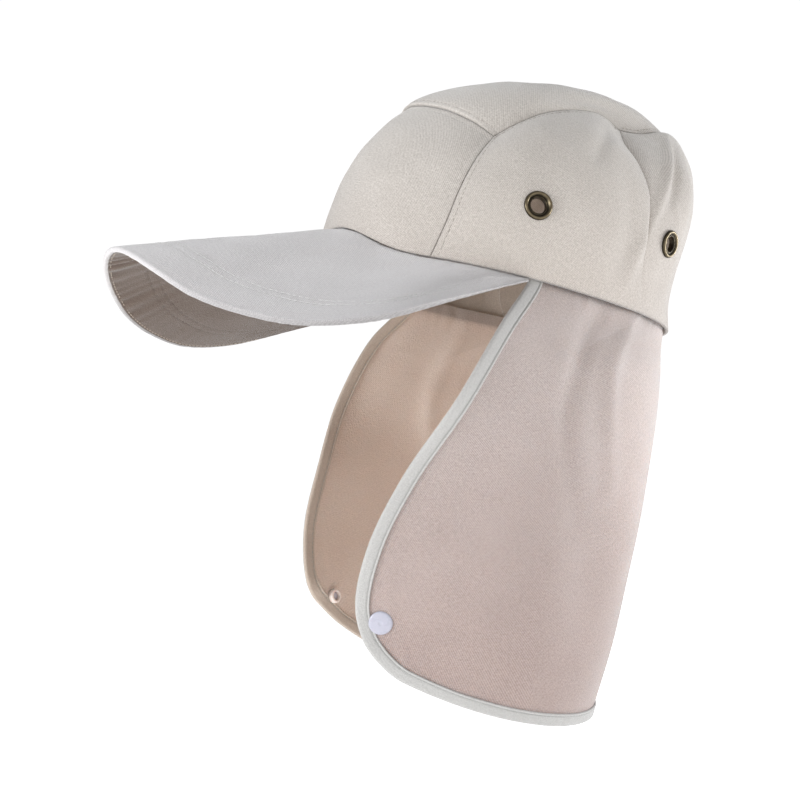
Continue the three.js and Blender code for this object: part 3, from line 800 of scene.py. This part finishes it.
crown_rows = [
    stitch_row("row", seam_line(surface, side, STITCH_IN))
    for surface, sides in (
        (side_surface, ("left", "top")), (right_side_surface, ("right", "top")),
        (top_surface, ("bottom", "top")),
    )
    for side in sides
]
crown_stitches = joined("crown_stitches", crown_rows)
put_in_thread(crown_stitches, "crown_thread", linear(172, 163, 154), linear(140, 131, 122))
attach(crown_stitches, "root")

# Brim: a long curved brim of two cloth covers. The top cover turns round the edge and the under
# cover is sewn inside it. Two rows of stitches hold both at the front.
BRIM_EDGE = [
    (0, -203, -34.5), (22, -201.3, -36.2), (42, -196.3, -40.9), (60, -187.6, -47.5),
    (76, -175.2, -54.6), (92, -158, -58.6), (107, -135, -58.6), (116, -107, -50),
    (111, -80, -36), (98, -52, -21.5), (82, -19, -4.5),
]
BRIM_END_ANGLE = 81
BRIM_CAMBER = 0.4
BRIM_DEPTH = 2.7
BRIM_CLOTH = 0.8
BRIM_ROWS = (22, 27)
BRIM_TAPER = 70
BRIM_COLUMNS = 330
BRIM_FAR_LINES = 24
BRIM_NARROW = 45
brim_half = np.array(BRIM_EDGE)
brim_edge = curve_through([*mirrored(brim_half[1:])[::-1], *brim_half])


def brim_surface(across, out):
    """across runs from the wearer's left end to the right end, out from the crown to the edge."""
    start = rim_point(BRIM_END_ANGLE * (1 - 2 * across), 3, 0.5)
    points = start + (brim_edge(1 - across) - start) * out[..., None]
    points[..., 2] += BRIM_CAMBER * np.sin(math.pi * np.abs(out) ** 1.5) * np.sin(math.pi * across)
    return points


def brim_grid(near):
    """The brim's face in lines at the near distances from its edge, then evenly up to the crown."""
    across = np.linspace(0, 1, BRIM_COLUMNS)
    fine = np.linspace(0, 1, 121)
    lengths = lengths_along(brim_surface(*np.meshgrid(across, fine)), 0)
    near = np.array(near)
    distance = np.empty((len(near) + BRIM_FAR_LINES, BRIM_COLUMNS))
    out = np.empty_like(distance)
    for column in range(BRIM_COLUMNS):
        total = lengths[-1, column]
        close = near * min(1, total / BRIM_NARROW)
        far = np.linspace(close[-1], total, BRIM_FAR_LINES + 1)[1:]
        distance[:, column] = np.concatenate([close, far])
        out[:, column] = np.interp(total - distance[:, column], lengths[:, column], fine)
    u = np.broadcast_to(across, out.shape)
    points = brim_surface(u, out)
    along = lengths_along(points[:1], 1)
    along = np.broadcast_to(along - along[0, -1] / 2, out.shape)
    return u, distance, along, points, normals_of(brim_surface, u, out)


def row_channels(distance, depth):
    return -depth * sum(bell(distance - row, 0.6) for row in BRIM_ROWS)


NEAR_ROWS = (18.5, 20.4, 21.2, 21.7, 22.2, 22.8, 23.6, 25, 26, 26.6, 27.1, 27.7, 28.6, 30.5, 33)
NEAR_EDGE = (1.35, 1.7, 2.05, 2.4, 3.3, 4.2, 5.2, 6.6, 8.5, 11, 13.5, 16, *NEAR_ROWS)
u, distance, along, face, up = brim_grid(NEAR_EDGE)
depth = BRIM_DEPTH * np.clip(distance[-1] / BRIM_TAPER, 0.3, 1)[:, None]
thin = np.minimum(BRIM_CLOTH, 0.4 * depth)
tip = np.sin(math.pi * u)
soft = 0.5 * wavy(along, distance, 6.1) * clear_of(distance, 12) * tip
fine = row_channels(distance, 0.12) + 0.12 * rippled(along, 8, 2.2) * np.exp(-distance / 7)
fine += 0.1 * rippled(along, 7, 4.2) * bell(distance - 24.5, 4)
fine -= 0.12 * bell(distance - 3.6, 0.6)
flat_outer = face + up * (soft + fine)[..., None]
flat_inner = face + up * (soft[..., None] - thin)
edge_up = up[0]
edge_out = face[0] - face[3]
edge_out = unit(edge_out - edge_up * np.sum(edge_out * edge_up, -1, keepdims=True))
roll_heart = flat_outer[0] - edge_up * depth / 2
turns = np.linspace(0, math.pi, 13)[1:]


def rolled(radius):
    return [roll_heart + edge_out * radius * math.sin(t) + edge_up * radius * math.cos(t) for t in turns]


def tucked(below):
    return [face[row] - up[row] * below for row in (1, 2, 3)]


top_outer = np.array([*flat_outer[::-1], *rolled(depth / 2), *tucked(depth)])
top_inner = np.array([*flat_inner[::-1], *rolled(depth / 2 - thin), *tucked(depth - thin)])


def edge_pattern(outer):
    """A pattern map with its middle at the brim's middle column."""
    return np.stack([centred(lengths_along(outer, 1)), lengths_along(outer, 0)], -1)


# Painted shade on the underside of the roll at the top cover's edge, weaker at the middle of the brim, where
# the roll stays bright.
past_edge = np.arange(len(top_outer)) - len(flat_outer)
rolled_under = np.interp(past_edge, (-1, 1, 3, 6), (0, 0.35, 0.75, 0.95))
painted_shading = rolled_under[:, None] * (0.25 + 0.75 * eased((np.abs(along[:1]) - 35) / 80))
brim_top = lay_cloth(
    "brim_top", tilted(top_outer), tilted(top_inner), edge_pattern(top_outer), painted_shading,
    # The top cover's canvas is the crown's cloth made lighter: painted light.
    canvas("brim_top_painted_light_canvas", linear(239, 235, 234), linear(211, 206, 206)),
)
NEAR_UNDER = (2.0, 2.15, 2.4, 2.8, 3.3, 3.8, 4.4, 5.4, 7, 9, 11, 13, 15, 17, *NEAR_ROWS)
u, distance, along, face, up = brim_grid(NEAR_UNDER)
depth = BRIM_DEPTH * np.clip(distance[-1] / BRIM_TAPER, 0.3, 1)
tip = bell(u - 0.5, 0.2)
inset = distance - distance[0]
turned_in = 0.7 * (1 - np.sqrt(1 - np.clip(1 - inset / 0.7, 0, 1) ** 2))
sink = turned_in - row_channels(distance, 0.1) + 0.2 * bell(inset - 1.9, 0.5)
pleats = rippled(along + 0.4 * distance, 8.5, 1.2) * tip * np.exp(-inset / 18) * clear_of(inset, 1.5)
sink -= 1.5 * pleats
sink -= 0.5 * wavy(along, distance, 3.3) * clear_of(inset, 12) * np.sin(math.pi * u)
under_outer = (face - up * (depth + 0.15 - sink)[..., None])[::-1, ::-1]
under_inner = (face - up * (depth - np.minimum(0.65, 0.3 * depth))[..., None])[::-1, ::-1]
# Painted shade: a dark line along the turned-in edge, painted shadows in the stitch holes, and painted shade
# in the hollows of the pleats with painted highlight on their crests.
painted_hole_shadows = sum(bell(distance - row, 0.5) for row in BRIM_ROWS)
pricked = np.sin(math.pi * along / STITCH_PITCH) > 0.3
painted_shading = np.exp(-inset / 0.5) + 0.6 * painted_hole_shadows * pricked - 0.5 * pleats
brim_under = lay_cloth(
    "brim_under", tilted(under_outer), tilted(under_inner), edge_pattern(under_outer), painted_shading[::-1, ::-1],
    # The under cover's canvas is the same cloth darkened: painted shade.
    canvas("brim_under_painted_shade_canvas", linear(119, 104, 94), linear(97, 82, 71)),
)
for piece, node, slot in (
    (brim_top, "brim_top_cover", "brim_top_cloth"), (brim_under, "brim_under_cover", "brim_under_cloth"),
):
    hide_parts(node)
    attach(piece, "root")


def brim_line(distance_in, depth, ends):
    """A line along the brim at a distance from its edge, on its face or at a depth below it."""
    across = np.linspace(ends, 1 - ends, 420)
    fine = np.linspace(0, 1, 121)
    lengths = lengths_along(brim_surface(*np.meshgrid(across, fine)), 0)
    out = np.array([np.interp(column[-1] - distance_in, column, fine) for column in lengths.T])
    points = brim_surface(across, out)
    return tilted(points - normals_of(brim_surface, across, out) * depth)


top_rows = [stitch_row("row", brim_line(row, 0.02, 0.09)) for row in BRIM_ROWS]
brim_stitches = joined("brim_stitches", top_rows)
put_in_thread(brim_stitches, "brim_thread", linear(232, 231, 229), linear(206, 204, 201))
under_rows = [stitch_row("row", brim_line(row, BRIM_DEPTH - 0.1, 0.09)) for row in BRIM_ROWS]
under_stitches = joined("brim_under_stitches", under_rows)
# The under rows' thread is darkened like the under cover: painted shade.
put_in_thread(under_stitches, "under_thread", linear(124, 110, 101), linear(98, 85, 76))
edge_stitches = stitch_row("brim_edge_stitches", brim_line(3.7, BRIM_DEPTH, 0.12), 2.6, 0.6)
put_in_thread(edge_stitches, "edge_thread", linear(216, 204, 190), linear(184, 170, 156))
for piece, slot in (
    (brim_stitches, "brim_top_cloth"),
    (under_stitches, "brim_under_cloth"),
    (edge_stitches, "brim_under_cloth"),
):
    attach(piece, "root")

# Neck flap: one wide piece of the same canvas, cut with slanting front edges, sewn inside the
# crown from behind one end of the brim round to the other, and hanging freely from there. Each row
# is a level: back_drop, back_y, side_x, side_y, edge_drop, edge_x, edge_y and the right edge's lift.
FLAP_SECTIONS = [
    (45, 97.5, 81, 5, 22, 83, -34, 0),
    (75, 92.5, 81, 2, 58, 80, -56, 0),
    (112, 86, 78, 0, 95, 61, -75, 0),
    (150, 78, 74, -5, 130, 48, -88, 0),
    (190, 70, 68, -8, 162, 38, -90, 5),
    (228, 58, 58.5, -5, 188, 41, -82, 16),
]
FLAP_FOLDS = [
    (0.3, 2.0, 0.08, 0.11, 0.9),
    (0.45, -3.2, 0.09, 0.1, 0.95),
    (-0.35, 2.0, 0.08, 0.12, 0.8),
    (-0.5, -1.8, 0.08, 0.15, 0.8),
]
FLAP_END_ANGLE = 82.3
FLAP_INSET = 4.2
FLAP_TUCK = 6
FLAP_SIDE_SHARE = 0.58
FLAP_HALF = 0.6
FLAP_COLUMNS = 250
FLAP_ROWS = 144


def drooping(points, share):
    """A line through points whose pace follows their spacing, for every column of the flap."""
    guided = np.concatenate([[2 * points[0] - points[1]], points, [2 * points[-1] - points[-2]]])
    place = (len(points) - 1) * np.clip(share, 0, 1)
    first = np.minimum(place.astype(int), len(points) - 2)
    part = (place - first)[..., None]
    before, start, end, after = (
        np.take_along_axis(guided, (first + step)[None, ..., None], axis=0)[0] for step in range(4)
    )
    last, own, following = (
        np.sqrt(np.linalg.norm(b - a, axis=-1, keepdims=True))
        for a, b in ((before, start), (start, end), (end, after))
    )
    leave = ((start - before) / last - (end - before) / (last + own)) * own + end - start
    arrive = ((after - end) / following - (after - start) / (own + following)) * own + end - start
    return bent(start, end, leave, arrive, part)


def flap_section(section, around):
    back_drop, back_y, side_x, side_y, edge_drop, edge_x, edge_y, lift = section
    share = np.abs(around)
    front_drop = np.where(around < 0, edge_drop - lift, edge_drop)
    height = -(back_drop + (front_drop - back_drop) * share ** 2.8)
    turn = np.minimum(share / FLAP_SIDE_SHARE, 1) * math.pi / 2
    forward = np.maximum(0, share - FLAP_SIDE_SHARE) / (1 - FLAP_SIDE_SHARE)
    smooth = np.clip(forward, 0, 1) ** 2 * (3 - 2 * np.clip(forward, 0, 1))
    closing = (forward ** 2 + smooth) / 2
    behind = share < FLAP_SIDE_SHARE
    side = np.where(behind, side_x * np.sin(turn), side_x + (edge_x - side_x) * closing)
    back = np.where(behind, side_y + (back_y - side_y) * np.cos(turn), side_y + (edge_y - side_y) * forward)
    return np.stack([side * np.sign(around), back, height], -1)


def flap_middle(u, v):
    around = 2 * u - 1
    angle = 180 + (FLAP_END_ANGLE - 180) * around
    levels = [tilted(rim_point(angle, FLAP_INSET, FLAP_TUCK)), tilted(rim_point(angle, FLAP_INSET, -0.6))]
    return drooping(np.array(levels + [flap_section(section, around) for section in FLAP_SECTIONS]), v)


def flap_surface(u, v):
    """u runs from the right front edge round the nape to the left one, v down to the hem. Each fold
    has its place around the flap, depth and width, and where down the flap it starts and ends."""
    around = 2 * u - 1
    height = np.zeros_like(u)
    for place, depth, width, start, end in FLAP_FOLDS:
        along = np.clip((v - start) / (end - start), 0, 1)
        height += depth * bell(around - place, width) * np.sin(math.pi * along)
    return flap_middle(u, v) + normals_of(flap_middle, u, v) * height[..., None]


FLAP_CREASES = [
    ([(0.815, 0.08), (0.77, 0.2), (0.733, 0.31), (0.712, 0.54)], 2.4, 6),
    ([(0.872, 0.09), (0.824, 0.23), (0.79, 0.4), (0.768, 0.6)], -2.4, 6.5),
    ([(0.806, 0.075), (0.80, 0.12), (0.785, 0.19)], 0.7, 1.8),
    ([(0.916, 0.075), (0.91, 0.12), (0.90, 0.18)], 0.6, 1.8),
    ([(0.955, 0.283), (0.91, 0.27), (0.867, 0.262)], -0.35, 2),
    ([(0.972, 0.73), (0.968, 0.79), (0.963, 0.845)], 0.5, 2),
    ([(0.955, 0.885), (0.955, 0.93), (0.958, 0.97)], 0.6, 2.2),
    ([(0.60, 0.06), (0.597, 0.11), (0.59, 0.2)], 0.7, 2.2),
    ([(0.52, 0.06), (0.523, 0.13), (0.53, 0.24)], -0.7, 3),
    ([(0.66, 0.07), (0.655, 0.12), (0.65, 0.18)], -0.6, 2),
    ([(0.6, 0.07), (0.612, 0.4), (0.605, 0.96)], 0.9, 8),
    ([(0.565, 0.09), (0.567, 0.45), (0.56, 0.9)], -2.4, 8),
    ([(0.52, 0.07), (0.517, 0.4), (0.52, 0.98)], 2.2, 9),
]


def rounded(u, v, reach=(0.038, 0.07)):
    """Places of the flap with its lower corners rounded, as shares of its width and height."""
    from_side = np.where(u < 0.5, u, 1 - u)
    x = np.maximum(0, 1 - from_side / reach[0])
    y = np.maximum(0, 1 - (1 - v) / reach[1])
    inside = reach[0] * (1 - x * np.sqrt(1 - y ** 2 / 2))
    u = np.where(x > 0, np.where(u < 0.5, inside, 1 - inside), u)
    return u, np.where(y > 0, 1 - reach[1] * (1 - y * np.sqrt(1 - x ** 2 / 2)), v)


u, v = rounded(*np.meshgrid(np.linspace(0, 1, FLAP_COLUMNS + 1), np.linspace(0, 1, FLAP_ROWS + 1)))
flap_face = flap_surface(u, v)
flap_out = normals_of(flap_surface, u, v)
around_flap = centred(lengths_along(flap_face, 1))
down_flap = lengths_along(flap_face, 0)
from_edge = np.minimum(around_flap - around_flap[:, :1], around_flap[:, -1:] - around_flap)
from_edge = np.minimum(from_edge, down_flap[-1:] - down_flap)
relief = creased(flap_surface, flap_face, on_both_sides(FLAP_CREASES))
relief += 0.8 * wavy(around_flap * 0.6, down_flap * 0.35, 4.4)
relief += 0.25 * rippled(around_flap, 9, 1.6) * np.exp(-np.maximum(0, down_flap - 8) / 12)
relief *= clear_of(from_edge, 6)
relief += 0.12 * rippled(around_flap + down_flap, 7, 0.7) * bell(from_edge - 6, 4)
flap_face = flap_face + flap_out * relief[..., None]
flap_pattern = np.stack([around_flap, -down_flap], -1)
# The flap's canvas is darker and redder towards the hem: painted shade.
flap_canvas = canvas(
    "flap_canvas", linear(206, 195, 191), linear(172, 160, 155),
    low=(0.86, 0.79, 0.77, 1), heights=(-0.19, -0.04), clear=0.4,
)
# The inner face is the flap's canvas made lighter and warmer: painted warm light.
flap_inside_painted_light = canvas("flap_inside_painted_light_canvas", linear(234, 219, 209), linear(214, 198, 187), clear=0.3)
# Painted shade along the top, where the flap goes up inside the crown, and a painted highlight on the upper
# flap round the nape.
painted_highlight = 0.5 * (1 - eased((np.abs(2 * u - 1) - 0.34) / 0.18)) * (1 - eased((down_flap - 70) / 130))
painted_shading = np.exp(-np.maximum(0, down_flap - 6.5) / 1.5) * 0.8 - painted_highlight
neck_flap = lay_cloth(
    "neck_flap_cloth", flap_face + flap_out * FLAP_HALF, flap_face - flap_out * FLAP_HALF,
    flap_pattern, painted_shading, flap_canvas, flap_inside_painted_light,
)
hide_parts("neck_flap")
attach(neck_flap, "root")

# Binding: a grey cotton tape folded over the flap's front edges and hem and held by one row of
# stitches through both of its leaves and the flap, a little inside the tape's edge.
TAPE_HALF = 1.5
TAPE_CLOTH = 0.75
TAPE_REACH = 5.4
TAPE_FOLD = 0.2
TAPE_START = 7
TAPE_STITCH = 0.74


def edge_route(step):
    """The flap's edge down the left front, round the hem and up the right front, by way of the
    points that lie the given number of lines inside it."""
    left = flap_face[TAPE_START:, -1 - step]
    hem = flap_face[-1 - step, ::-1]
    right = flap_face[TAPE_START:, step][::-1]
    return np.concatenate([left[:-1], hem, right[1:]])


def evened(values, times):
    for _ in range(times):
        values = np.concatenate([values[:1], (values[:-2] + 2 * values[1:-1] + values[2:]) / 4, values[-1:]])
    return values


route = edge_route(0)
tape_way = unit(np.gradient(evened(route, 3), axis=0))
tape_back = unit(evened(edge_route(3) - route, 8))
tape_up = unit(evened(np.cross(tape_way, tape_back), 4))
tape_out = -unit(np.cross(tape_up, tape_way))
tape_out = np.where(np.sum(tape_out * tape_back, -1, keepdims=True) > 0, -tape_out, tape_out)
tape_length = np.concatenate([[0], np.cumsum(np.linalg.norm(np.diff(route, axis=0), axis=1))])


def tape_section(half, gain):
    """Rows of distance out from the flap's edge and height over its middle, round the fold."""
    leaf = [1, 0.985, 0.94, 0.88, 0.82, 0.78, TAPE_STITCH, 0.70, 0.64, 0.5, 0.25, 0]
    height = [-0.35, 0.05, 0.22, 0.22, 0.08, -0.14, -0.24, -0.14, 0.02, 0.06, 0.05, 0]
    rows = [(-TAPE_REACH * share, half + gain * rise) for share, rise in zip(leaf, height)]
    bend = [(TAPE_FOLD + half * math.sin(t), half * math.cos(t)) for t in np.linspace(0, math.pi, 11)[1:-1]]
    return rows + bend + [(out, -height) for out, height in rows[::-1]]


def tape_sheet(half, gain):
    ripple = 0.07 * rippled(tape_length, 6, 3.1)
    return np.array([
        route + tape_out * out + tape_up * (height + np.sign(height) * ripple)[:, None]
        for out, height in tape_section(half, gain)[::-1]
    ])


tape_outer = tape_sheet(TAPE_HALF, 1)
tape_inner = tape_sheet(TAPE_HALF - TAPE_CLOTH, 0)
tape_round = lengths_along(tape_outer, 0)
tape_pattern = np.stack([np.broadcast_to(tape_length, tape_round.shape), tape_round], -1)
selvedge = np.minimum(tape_round, tape_round[-1:] - tape_round)
# Painted shade in a line a little in from each edge of the tape, and a painted highlight nearer the edge,
# half as strong on the inner leaf.
painted_shading = 0.6 * bell(selvedge - 1.75, 0.32) - 0.15 * bell(selvedge - 0.75, 0.4)
painted_shading[:len(painted_shading) // 2] *= 0.5
binding = lay_cloth(
    "binding_tape", tape_outer, tape_inner, tape_pattern, painted_shading,
    canvas("tape_canvas", linear(209, 207, 204), linear(191, 189, 186), pitch=0.6),
    canvas("tape_inside_painted_light_canvas", linear(218, 202, 187), linear(199, 182, 167), pitch=0.6),
)
# The inner leaf takes the tape's canvas made warmer: painted warm light.
points_a_side = tape_outer.size // 3
for face in binding.data.polygons:
    row = min(face.vertices) % points_a_side // len(route)
    face.material_index = int(row < len(tape_outer) // 2)
tape_rows = []
for face in (1, -1):
    line = route - tape_out * TAPE_REACH * TAPE_STITCH + tape_up * (TAPE_HALF - 0.3) * face
    tape_rows.append(stitch_row("row", line[2:-2], 2.7, 0.45))
tape_stitches = joined("tape_stitches", tape_rows)
put_in_thread(tape_stitches, "tape_thread", linear(188, 188, 184), linear(160, 160, 156))
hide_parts("flap_binding")
for piece in (binding, tape_stitches):
    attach(piece, "root")

# Press snaps: a white plastic cap whose post goes through the flap near its front corner, and
# the socket that its post is pressed into on the inside, on each side of the flap.
SNAP_FROM_EDGE = 9.6
SNAP_DOWN = {1: 0.862, -1: 0.885}
CAP_PROFILE = [
    (0, -2.3), (1.2, -2.3), (1.85, -2.15), (2.0, -1.8), (2.0, 0.7), (2.3, 0.85), (5.2, 0.85), (5.7, 0.95),
    (5.93, 1.15), (6.0, 1.4), (5.95, 1.7), (5.75, 1.98), (5.4, 2.2), (5.0, 2.32), (4.6, 2.36), (4.3, 2.38),
    (3.4, 2.46), (2.4, 2.53), (1.5, 2.56), (1.1, 2.54), (0.8, 2.46), (0.5, 2.4), (0, 2.38),
]
SOCKET_PROFILE = [
    (2.3, -1.15), (2.3, -3.2), (2.45, -3.45), (2.75, -3.6), (3.1, -3.62), (3.45, -3.55), (3.75, -3.35),
    (3.9, -3.0), (4.0, -2.4), (4.1, -1.9), (4.1, -1.2), (3.9, -0.9), (2.6, -0.9),
]


def snap_seat(side):
    """The place on the flap behind its front edge on one side, 1 or -1, and the way out."""
    end = (1 + side) / 2
    down = SNAP_DOWN[side]
    heights = np.arange(down - 0.15, 1, 0.01)
    edge = flap_surface(np.full(len(heights), end), heights)
    around = side
    while True:
        u = np.array([(1 + around) / 2])
        v = np.array([down])
        point = flap_surface(u, v)
        if np.linalg.norm(edge - point, axis=-1).min() >= SNAP_FROM_EDGE:
            return Vector(point[0] * MM), Vector(normals_of(flap_surface, u, v)[0])
        around -= side * SLOPE_STEP


def plastic(name, colour, shade, clear):
    """Moulded acetal: slightly see-through, glossy, with the faint mist of handling."""
    material, shader, wire = new_material(name, {
        "Subsurface Weight": clear, "Subsurface Radius": (0.004, 0.003, 0.003), "Subsurface Scale": 0.3,
    })
    mist = wire.node("ShaderNodeTexCoord", {}, {}, 3).noise(300, 3)
    mist.mixed(shade, colour).into(shader, "Base Color")
    (mist * 0.25 + 0.16).into(shader, "Roughness")
    return material


cap_plastic = plastic("cap_plastic", linear(195, 194, 206), linear(186, 185, 198), 0.2)
socket_plastic = plastic("socket_plastic", linear(248, 236, 228), linear(240, 226, 216), 0.35)
snaps = []
for side, name in ((1, "left"), (-1, "right")):
    seat, outwards = snap_seat(side)
    cap = spun("white_cap_" + name, CAP_PROFILE, seat, outwards, closed=False)
    cap.data.materials.append(cap_plastic)
    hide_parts("snap_cap_" + name)
    socket = spun("inner_socket_" + name, SOCKET_PROFILE, seat, outwards)
    socket.data.materials.append(socket_plastic)
    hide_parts("snap_socket_" + name)
    punched(neck_flap, seat, outwards, 2.15)
    snaps += [cap, socket]
for piece in snaps:
    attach(piece, "root")
